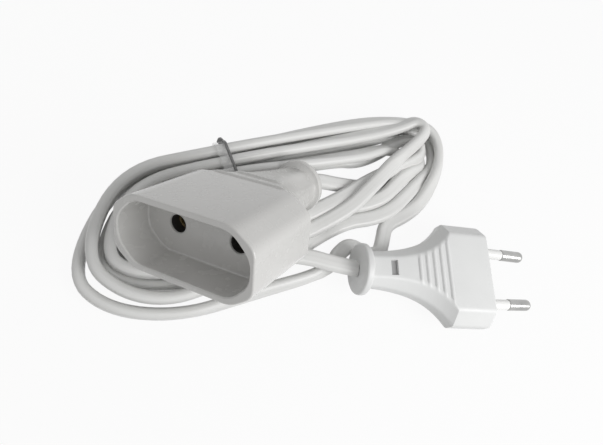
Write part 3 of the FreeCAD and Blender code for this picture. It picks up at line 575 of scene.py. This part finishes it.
def coupler_grip():
    """The grip with its recess and the two holes in the recess floor, their walls in a near-black material
    as painted shade.
    """
    rings = [coupler_ring(along, inset=inset) for along, inset in quarter(COUPLER_RIM_ROUND)]
    rings += [coupler_ring(along) for along in COUPLER_HEAD_RINGS]
    for rib_place in COUPLER_RIBS:
        rings += [coupler_ring(rib_place + away, RIB_HEIGHT * share) for away, share in RIB_RISE]
    rings += [coupler_ring(along) for along in COUPLER_NECK_RINGS]
    walls = [recess_ring(-1, -MOUTH_FLARE), recess_ring(0, -MOUTH_FLARE), recess_ring(MOUTH_FLARE_DEPTH)]
    walls += [recess_ring(RECESS_FLOOR - along, inset) for along, inset in reversed(quarter(RECESS_ROUND))]
    shape = carved(skinned(rings), skinned(walls))
    for side in SIDES.values():
        shape = carved(shape, socket_drill(side))
    # The holes' walls past the chamfer take the second, near-black material: painted shade inside the
    # holes.
    for face in shape.faces:
        if inside_socket(face.calc_center_median()):
            face.material_index = 1
    back = flange(0, COUPLER_FLANGE_ROOT)
    turn_round = Matrix.Translation((COUPLER_LENGTH, 0, 0)) @ Matrix.Rotation(math.pi, 4, "Z")
    bmesh.ops.transform(back, matrix=turn_round, verts=back.verts)
    return joined(shape, back)


coupler_body = piece(coupler_grip(), "coupler_grip", coupler_place, glossy_grip())
# Near-black material painted on the holes' walls as the shade inside them.
socket_painted_shade = moulded("socket_painted_shade", (0.035, 0.035, 0.035), (0.02, 0.02, 0.02), 0.6, 0.75)
coupler_body.data.materials.append(socket_painted_shade)
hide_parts("coupler_body")

# The cord is flat two-core flex in a white vinyl sheath, 5.4 by 3.4 mm. It leaves the plug lying
# flat, turns on edge, and is wound into a hank of six passes before it goes into the coupler.

CORD_WIDTH = 5.4
CORD_THICKNESS = 3.4
CORD_GAP = 0.45
LANE_SLACK = 0.17
CORD_SIDES = 16
FLAT = math.pi / 2
LYING = CORD_THICKNESS / 2 + 0.05
TIE_LIFT = 1.3
low = CORD_WIDTH / 2
layer = CORD_WIDTH + CORD_GAP
lane = CORD_THICKNESS + CORD_GAP + LANE_SLACK

# Where the outermost cord of the hank runs, round from under the coupler
STATIONS = {
    "under_coupler": (-84.0, -12.6),
    "left_low": (-104.0, -13.6),
    "left_end": (-115.2, -2.0),
    "left_top": (-106.0, 23.0),
    "tie": (-79.2, 34.5),
    "far_right": (-33.0, 52.6),
    "far_end": (-12.0, 58.4),
    "corner": (0.9, 57.2),
    "right_end": (5.0, 44.6),
    "near_right": (-2.8, 29.4),
    "near_side": (-19.0, 19.6),
    "near_middle": (-37.1, 13.2),
    "crossing": (-65.0, -8.2),
}

# How the passes lie at a station: how far in the second pass and the first, which rides on it, are;
# the start and pitch of the columns; the shift of the upper layer and the share of a layer that it
# stands up; and the lift off the table
STACKS = {
    "under_coupler": (0.0, 3.6, -0.2, 6.0, 3.0, 1.0, 0.0),
    "left_low": (0.0, 4.5, 2.3, 4.5, 2.2, 1.0, 0.0),
    "left_end": (0.0, 2.8, 1.4, 4.4, 2.1, 1.0, 0.0),
    "left_top": (0.0, 0.6, 0.3, 4.4, 0.9, 1.0, 0.0),
    "tie": (0.0, 0.0, 0.0, lane, 0.0, 1.0, TIE_LIFT),
    "far_right": (0.0, 0.0, 0.0, 5.0, 0.0, 1.0, 0.0),
    "far_end": (0.0, 0.0, 0.0, lane, 0.0, 1.0, 0.0),
    "corner": (0.8, 0.0, 0.8, 4.1, 1.0, 1.0, 0.0),
    "right_end": (2.0, 0.0, 2.0, 4.2, 2.1, 1.0, 0.0),
}

# Each pass's column, from the outside in, and whether it is in the upper layer
COLUMNS = {0: (0, 1), 1: (0, 0), 2: (1, 0), 3: (1, 1), 4: (2, 0), 5: (2, 1)}
LAST_PASS = 5
CLIMB = 0.45

# After the first pass the cord leaves the others, rounds the plug's flange and passes under its lead
LOOSE_END = [
    ((-11.0, 22.6, 3.4), FLAT),
    ((-17.5, 18.6, LYING), FLAT),
    ((-19.6, 12.8, LYING), FLAT),
    ((-21.6, 8.2, LYING), FLAT),
    ((-26.4, 7.4, LYING), FLAT),
    ((-31.8, 9.7, LYING), FLAT),
    ((-36.0, 7.0, LYING), FLAT),
    ((-39.6, 2.6, 2.2), 0.9),
    ((-47.5, -2.2, low), 0.3),
]

# Along the near side the photograph shows the passes lying flat, side by side and over each other:
# how far in from the outermost and how high each lies
NEAR_BAND = {
    "near_right": {0: (0.6, 4.4), 1: (5.8, 4.6), 2: (11.4, 5.6), 3: (17.4, 9.0), 4: (15.2, 5.4)},
    "near_side": {1: (2.2, 3.4), 2: (7.4, 4.6), 3: (13.0, 8.3), 4: (15.0, 5.1)},
    "near_middle": {1: (3.0, LYING), 2: (8.2, LYING), 3: (5.0, 5.8), 4: (10.0, 5.2)},
}

# Where a pass leaves its even place: the inner ones turn tightly at the right end, on top of the
# outer ones, the far side fans out, and the second pass swings wide at the left end
BY_HAND = {
    (0, "under_coupler"): [(-86.0, -12.4, 7.8)],
    (0, "left_low"): [(-101.6, -11.4, 8.1)],
    (0, "far_end"): [(-12.5, 57.7, 8.1)],
    (0, "corner"): [(0.6, 56.8, 8.1)],
    (0, "right_end"): [(3.8, 44.8, 7.4)],
    (1, "far_end"): [(-12.5, 57.8, low)],
    (1, "under_coupler"): [(-86.0, -15.4, low)],
    (1, "left_low"): [(-106.0, -14.4, low)],
    (1, "left_end"): [(-116.0, -3.4, low)],
    (3, "far_end"): [(-14.0, 54.4, 9.4), (-7.4, 57.2, 11.4)],
    (3, "right_end"): [(-4.0, 54.0, 12.4), (-8.2, 48.0, 11.2)],
    (4, "far_right"): [(-40.0, 39.8, 2.3), (-29.5, 41.6, 2.3)],
    (4, "far_end"): [(-20.5, 45.6, 3.0), (-12.6, 51.0, 4.8)],
    (4, "right_end"): [(-5.0, 52.4, 6.6), (-3.4, 47.0, 6.8), (-8.6, 42.6, 6.0)],
    (5, "far_right"): [(-29.4, 41.2, 8.1)],
}

# How far the cord leans in at a station, from standing on edge at 0 to lying flat
LEANS = {
    "tie": 0.1, "far_right": 1.0, "far_end": 0.8, "corner": 0.5, "right_end": 0.6,
    "near_right": 1.3, "near_side": FLAT, "near_middle": FLAT, "crossing": 0.4,
}

station_names = list(STATIONS)
station_points = [Vector((*place, 0)) for place in STATIONS.values()]
headings = {}
for count, name in enumerate(station_names):
    arriving = station_points[count] - station_points[count - 1]
    leaving = station_points[(count + 1) % len(station_points)] - station_points[count]
    blend = arriving * (leaving.length / arriving.length) + leaving * (arriving.length / leaving.length)
    headings[name] = blend.normalized()


def inward(name, distance, height):
    """A point at a station, a distance in from the outermost cord."""
    x, y = STATIONS[name]
    heading = headings[name]
    return Vector((x + heading.y * distance, y - heading.x * distance, height))


def stacked(name, turn):
    """Where one pass of the cord lies at a station, in its column and layer."""
    second, first, base, pitch, shift, rise, lift = STACKS[name]
    column, upper = COLUMNS[turn]
    distance = base + column * pitch + upper * shift
    if turn == 0:
        distance = first
    if turn == 1:
        distance = second
    return inward(name, distance, low + lift + layer * upper * rise)


def laid(name, turn):
    """The points of one pass at a station."""
    if (turn, name) in BY_HAND:
        return [Vector(point) for point in BY_HAND[turn, name]]
    if name in NEAR_BAND:
        return [inward(name, *NEAR_BAND[name][turn])]
    return [stacked(name, turn)]


round_names = [name for name in station_names if name not in ("near_middle", "crossing")]
hank = []
for turn in range(LAST_PASS + 1):
    column = COLUMNS[turn][0]
    for name in round_names:
        skipped = (
            (turn == 0 and name == "near_side")
            or (column and name == "corner")
            or (turn == LAST_PASS and name in ("far_end", "right_end", "near_right", "near_side"))
        )
        if not skipped:
            hank += [(point, LEANS.get(name, 0.0)) for point in laid(name, turn)]
    if turn == 0:
        hank += [(Vector(point), lean) for point, lean in LOOSE_END]
        hank.append((inward("crossing", 0, low), LEANS["crossing"]))
    elif turn < LAST_PASS:
        climb = CLIMB * layer if COLUMNS[turn + 1][1] else 0
        hank += [(point, LEANS["near_middle"]) for point in laid("near_middle", turn)]
        hank.append((inward("crossing", turn * lane, low + climb), LEANS["crossing"]))

plug_back = PLUG_FACE - PLUG_LENGTH
coupler_exit = coupler_place @ Vector((COUPLER_LENGTH, 0, 0))
coupler_axis = coupler_place.to_3x3() @ Vector((1, 0, 0))
PLUG_LEAD = [
    ((plug_back, 0, AXIS_HEIGHT), FLAT),
    ((plug_back - 8, 1.0, AXIS_HEIGHT), FLAT),
    ((plug_back - 17, 2.8, 8.6), FLAT),
    ((plug_back - 27, 2.8, 8.6), FLAT),
    ((plug_back - 37, -1.6, 8.6), 0.8),
]
COUPLER_LEAD = [
    ((-20.5, 45.8, 7.0), 0.8),
    ((-13.0, 47.4, 4.8), 0.9),
    ((-8.4, 45.4, 2.8), 1.1),
    ((-9.8, 40.6, LYING), FLAT),
    ((-16.5, 36.0, LYING), FLAT),
    ((-26.0, 32.2, LYING), FLAT),
    ((-35.0, 31.6, 2.8), FLAT),
    (coupler_exit + coupler_axis * 8, FLAT),
    (coupler_exit, FLAT),
]


def set_out(points):
    """The points moved out at each bend, by the eighth that a smooth curve cuts inside them."""
    moved = [points[0]]
    for before, here, after in zip(points, points[1:], points[2:]):
        outwards = (here * 2 - before - after) / 8
        outwards.z = 0
        moved.append(here + outwards)
    moved.append(points[-1])
    return moved


cord_points = [Vector(point) for point, lean in PLUG_LEAD]
cord_points += set_out([point for point, lean in hank])
cord_points += [Vector(point) for point, lean in COUPLER_LEAD]
leans = [lean for point, lean in PLUG_LEAD + hank + COUPLER_LEAD]
line = bpy.data.curves.new("cord_line", "CURVE")
line.dimensions = "3D"
line.resolution_u = 9
spline = line.splines.new("NURBS")
spline.points.add(len(cord_points) - 1)
for control, point in zip(spline.points, cord_points):
    control.co = (*(point * MM), 1)
spline.order_u = 3
spline.use_endpoint_u = True
line_object = bpy.data.objects.new("cord_line", line)
bpy.context.collection.objects.link(line_object)
bpy.context.view_layer.update()
line_mesh = bpy.data.meshes.new_from_object(line_object)
path = [vertex.co.copy() for vertex in line_mesh.vertices]
bpy.data.objects.remove(line_object)
bpy.data.meshes.remove(line_mesh)


def distances(points):
    """How far along a line each of its points is."""
    far = [0.0]
    for first, second in zip(points, points[1:]):
        far.append(far[-1] + (second - first).length)
    return far


runs = distances(path)
control_runs = distances(cord_points)
stretch = runs[-1] / control_runs[-1]


def rolled(distance):
    """How far the cord leans at a distance along it, eased from control point to control point."""
    for count in range(len(leans) - 1):
        start = control_runs[count] * stretch
        end = control_runs[count + 1] * stretch
        if distance <= end:
            share = (distance - start) / (end - start)
            share = share * share * (3 - 2 * share)
            return leans[count] + (leans[count + 1] - leans[count]) * share
    return leans[-1]


def resting(lean):
    """How high the cord's middle is where it lies on the table at a lean."""
    return (CORD_WIDTH - CORD_THICKNESS) / 2 * math.cos(lean) + CORD_THICKNESS / 2


for point, distance in zip(path, runs):
    point.z = max(point.z, resting(rolled(distance)) * MM)


def cord_section():
    """The sheath's outline: flat sides and round edges, wide side along Y."""
    shape = bmesh.new()
    radius = CORD_THICKNESS / 2
    flats_level = Matrix.Rotation(math.pi / CORD_SIDES, 4, "Z")
    made = bmesh.ops.create_circle(shape, segments=CORD_SIDES, radius=radius, matrix=flats_level)
    for vertex in made["verts"]:
        vertex.co.y += math.copysign(CORD_WIDTH / 2 - radius, vertex.co.y)
    return shape


def section_place(count):
    """Where the section stands at one point of the path: its X to the side, Y up and Z along."""
    before = path[max(count - 1, 0)]
    after = path[min(count + 1, len(path) - 1)]
    along = (after - before).normalized()
    up = Vector((0, 0, 1))
    upright = (up - along * up.dot(along)).normalized()
    side = upright.cross(along)
    turn = Matrix((side, upright, along)).transposed().to_4x4()
    return Matrix.Translation(path[count] / MM) @ turn @ Matrix.Rotation(rolled(runs[count]), 4, "Z")


def cord_tube():
    """The sheath drawn along the path, with its distance from the plug kept at each point."""
    shape = cord_section()
    distance = shape.verts.layers.float.new("along")
    around = shape.verts.layers.float.new("around")
    for vertex in shape.verts:
        vertex[around] = math.atan2(vertex.co.y, vertex.co.x) / (2 * math.pi)
    place = section_place(0)
    bmesh.ops.transform(shape, matrix=place, verts=shape.verts)
    ring = list(shape.edges)
    bmesh.ops.contextual_create(shape, geom=ring)
    for count in range(1, len(path)):
        grown = bmesh.ops.extrude_edge_only(shape, edges=ring)["geom"]
        corners = {item for item in grown if isinstance(item, bmesh.types.BMVert)}
        edges = [item for item in grown if isinstance(item, bmesh.types.BMEdge)]
        ring = [edge for edge in edges if corners.issuperset(edge.verts)]
        new_place = section_place(count)
        bmesh.ops.transform(shape, matrix=new_place @ place.inverted(), verts=list(corners))
        place = new_place
        for vertex in corners:
            vertex[distance] = runs[count]
    bmesh.ops.contextual_create(shape, geom=ring)
    return shape


def vinyl():
    """White vinyl sheath: a soft sheen, faint draw marks along it and slight greying."""
    material, tree, shader = surface("cord_vinyl", (0.72, 0.72, 0.71), 0.36)
    along = tree.nodes.new("ShaderNodeAttribute")
    along.attribute_name = "along"
    around = tree.nodes.new("ShaderNodeAttribute")
    around.attribute_name = "around"
    place = tree.nodes.new("ShaderNodeCombineXYZ")
    tree.links.new(along.outputs["Fac"], place.inputs["X"])
    tree.links.new(around.outputs["Fac"], place.inputs["Y"])
    stretched = tree.nodes.new("ShaderNodeMapping")
    stretched.inputs["Scale"].default_value = (30, 9, 1)
    marks = tree.nodes.new("ShaderNodeTexNoise")
    marks.inputs["Scale"].default_value = 1.0
    marks.inputs["Detail"].default_value = 4.0
    tree.links.new(place.outputs["Vector"], stretched.inputs["Vector"])
    tree.links.new(stretched.outputs["Vector"], marks.inputs["Vector"])
    tinted(tree, shader, marks.outputs["Fac"], (0.66, 0.66, 0.645), (0.74, 0.74, 0.73))
    ranged(tree, marks.outputs["Fac"], shader.inputs["Roughness"], 0.3, 0.46)
    grained(tree, shader, noise(tree, 3500, detail=1.0), 0.00003, 0.15)
    return material


cord = piece(cord_tube(), "cord", Matrix.Identity(4), vinyl(), crease=60)
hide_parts("plug_lead", "cord_hank", "coupler_lead")

# The tie round the far side is a narrow clear strip with a dark wire along one edge. Its ends are
# twisted together at the far side, near the top, and cut short.

TIE_WIDTH = 3.2
TIE_THICKNESS = 0.5
TIE_ROOM = 0.3
TIE_BEVEL = 1.3
TIE_INNER = 3.0
TIE_ROUND = 0.7
WIRE_WIDTH = 0.8
WIRE_RISE = 0.25
WIRE_SEAT = 0.05
KNOT_RINGS = 9
KNOT_STEP = 0.22
KNOT_TURN = 10
KNOT_TAPER = 0.3
KNOT_ACROSS = 1.1
KNOT_UP = 0.75
KNOT_ROUND = 0.4
tie_across = 2 * lane + CORD_THICKNESS + 2 * TIE_ROOM
tie_up = layer + CORD_WIDTH + 2 * TIE_ROOM
tie_heading = headings["tie"]
tie_side = Vector((0, 0, 1)).cross(tie_heading)
tie_turn = Matrix((tie_heading, tie_side, (0, 0, 1))).transposed().to_4x4()
tie_place = Matrix.Translation(inward("tie", lane, low + TIE_LIFT + layer / 2)) @ tie_turn

# The hoop's outer rings are a hair shorter than its inner ones, because two rings in one plane
# don't join cleanly
TIE_EASE = 0.06


def hoop(start, end, inside, outside):
    """A flat hoop round the cords, between two places along them and two distances out."""
    shape = bmesh.new()
    loops = []
    outer_start = start + TIE_EASE
    outer_end = end - TIE_EASE
    for along, out in ((start, inside), (end, inside), (outer_end, outside), (outer_start, outside)):
        ring = grip_ring(along, tie_across, tie_up, TIE_BEVEL, TIE_BEVEL, TIE_INNER, TIE_ROUND, inset=-out)
        loops.append(loop_edges(shape, [shape.verts.new(point) for point in ring]))
    for first, second in zip(loops, loops[1:] + loops[:1]):
        bmesh.ops.bridge_loops(shape, edges=first + second)
    return shape


def twisted_ends():
    """The two wire ends wound into a short knot that stands out from the far side."""
    halfway = (KNOT_RINGS - 1) / 2
    rings = []
    for step in range(KNOT_RINGS):
        swell = 1 - KNOT_TAPER * abs(step - halfway) / halfway
        across = KNOT_ACROSS * swell
        up = KNOT_UP * swell
        corners = [(x * across, z * up, KNOT_ROUND) for x, z in ((1, 1), (-1, 1), (-1, -1), (1, -1))]
        turn = Matrix.Rotation(math.radians(KNOT_TURN * step), 2)
        out = tie_across / 2 + TIE_THICKNESS + KNOT_STEP * step
        ring = [turn @ point for point in eased_outline(corners, 2)]
        rings.append([(TIE_WIDTH / 2 + point.x, out, tie_up / 4 + point.y) for point in ring])
    return skinned(rings)


def tie_clear():
    """Cloudy clear plastic."""
    material, tree, shader = surface("tie_plastic", (0.8, 0.8, 0.8), 0.2)
    tinted(tree, shader, noise(tree, 900), (0.74, 0.74, 0.74), (0.84, 0.84, 0.84))
    ranged(tree, noise(tree, 400), shader.inputs["Roughness"], 0.15, 0.3)
    shader.inputs["Alpha"].default_value = 0.2
    return material


def tie_wire():
    """The dark coated wire."""
    material, tree, shader = surface("tie_wire", (0.16, 0.16, 0.16), 0.35)
    tinted(tree, shader, noise(tree, 1100), (0.11, 0.11, 0.11), (0.22, 0.22, 0.22))
    ranged(tree, noise(tree, 600), shader.inputs["Roughness"], 0.25, 0.45)
    return material


wire_start = TIE_WIDTH / 2 - WIRE_WIDTH / 4
wire_hoop = hoop(wire_start, wire_start + WIRE_WIDTH, WIRE_SEAT, TIE_THICKNESS + WIRE_RISE)
tie_wire_piece = piece(joined(wire_hoop, twisted_ends()), "tie_wire", tie_place, tie_wire())
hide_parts("tie_twist")
strip = piece(hoop(-TIE_WIDTH / 2, wire_start, 0, TIE_THICKNESS), "tie_strip", tie_place, tie_clear())
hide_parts("tie_band")

# The floor is a wide pale sheet of matt board under the whole object. To the camera, and in
# mirrors and clear plastic, it is nearly white, with the object's soft shadow on it. The sizes
# and places of the floor, lamp and camera are in metres.

FLOOR_SIZE = 3.0
FLOOR_DROP = 0.0002
FLOOR_GLOW = 0.93


def sees_ground(tree):
    """1 for the rays that meet the white ground: the camera's, mirrored ones and those through plastic."""
    rays = tree.nodes.new("ShaderNodeLightPath")
    mirrored = tree.nodes.new("ShaderNodeMath")
    mirrored.operation = "MAXIMUM"
    tree.links.new(rays.outputs["Is Camera Ray"], mirrored.inputs[0])
    tree.links.new(rays.outputs["Is Glossy Ray"], mirrored.inputs[1])
    passed = tree.nodes.new("ShaderNodeMath")
    passed.operation = "MAXIMUM"
    tree.links.new(mirrored.outputs["Value"], passed.inputs[0])
    tree.links.new(rays.outputs["Is Transmission Ray"], passed.inputs[1])
    return passed.outputs["Value"]


def white_sheet():
    """Matt white, brightened for the rays that meet it as the white ground."""
    material, tree, shader = surface("white_sheet", (0.6, 0.6, 0.6), 0.9)
    glow = tree.nodes.new("ShaderNodeEmission")
    glow.inputs["Color"].default_value = (1, 1, 1, 1)
    brightened = tree.nodes.new("ShaderNodeMath")
    brightened.operation = "MULTIPLY"
    brightened.inputs[1].default_value = FLOOR_GLOW
    mix = tree.nodes.new("ShaderNodeMixShader")
    tree.links.new(sees_ground(tree), brightened.inputs[0])
    tree.links.new(brightened.outputs["Value"], mix.inputs["Fac"])
    tree.links.new(shader.outputs["BSDF"], mix.inputs[1])
    tree.links.new(glow.outputs["Emission"], mix.inputs[2])
    tree.links.new(mix.outputs["Shader"], tree.nodes["Material Output"].inputs["Surface"])
    return material


sheet_shape = bmesh.new()
bmesh.ops.create_grid(sheet_shape, x_segments=1, y_segments=1, size=FLOOR_SIZE / 2)
sheet_mesh = bpy.data.meshes.new("floor")
sheet_shape.to_mesh(sheet_mesh)
sheet_shape.free()
sheet_mesh.materials.append(white_sheet())
floor = bpy.data.objects.new("floor", sheet_mesh)
floor.location.z = -FLOOR_DROP
bpy.context.collection.objects.link(floor)

# Soft studio light: one square lamp close on the near right, and a pale room all round, which is
# white where the camera or a mirror sees it.

KEY_PLACE = (0.15, -0.15, 0.25)
KEY_TARGET = (-0.02, 0.01, 0)
KEY_SIZE = 0.2
KEY_WATTS = 0.8
ROOM_LIGHT = 0.5
key = bpy.data.lights.new("key", "AREA")
key.shape = "SQUARE"
key.size = KEY_SIZE
key.energy = KEY_WATTS
key_lamp = bpy.data.objects.new("key", key)
key_lamp.location = KEY_PLACE
key_lamp.rotation_euler = (Vector(KEY_TARGET) - Vector(KEY_PLACE)).to_track_quat("-Z", "Y").to_euler()
bpy.context.collection.objects.link(key_lamp)

world = bpy.data.worlds.new("room")
bpy.context.scene.world = world
world.use_nodes = True
room = world.node_tree
pale = room.nodes["Background"]
pale.inputs["Color"].default_value = (1, 1, 1, 1)
pale.inputs["Strength"].default_value = ROOM_LIGHT
white = room.nodes.new("ShaderNodeBackground")
white.inputs["Color"].default_value = (1, 1, 1, 1)
white.inputs["Strength"].default_value = 1.0
both = room.nodes.new("ShaderNodeMixShader")
room.links.new(sees_ground(room), both.inputs["Fac"])
room.links.new(pale.outputs["Background"], both.inputs[1])
room.links.new(white.outputs["Background"], both.inputs[2])
room.links.new(both.outputs["Shader"], room.nodes["World Output"].inputs["Surface"])

# The camera stands close above the near left side, as the photographer did. Its turn about
# each axis is in degrees.

CAMERA_PLACE = (-0.0997, -0.0410, 0.1509)
CAMERA_TURN = (20.338, -18.351, -0.832)
FOCAL_PIXELS = 500.0
FRAME_WIDTH = 603.0
SENSOR_WIDTH = 36.0
view = bpy.data.cameras.new("camera")
view.sensor_width = SENSOR_WIDTH
view.lens = FOCAL_PIXELS / FRAME_WIDTH * SENSOR_WIDTH
camera = bpy.data.objects.new("camera", view)
camera.location = CAMERA_PLACE
camera.rotation_euler = [math.radians(turn) for turn in CAMERA_TURN]
bpy.context.collection.objects.link(camera)
bpy.context.scene.camera = camera
bpy.context.scene.view_settings.view_transform = "Standard"
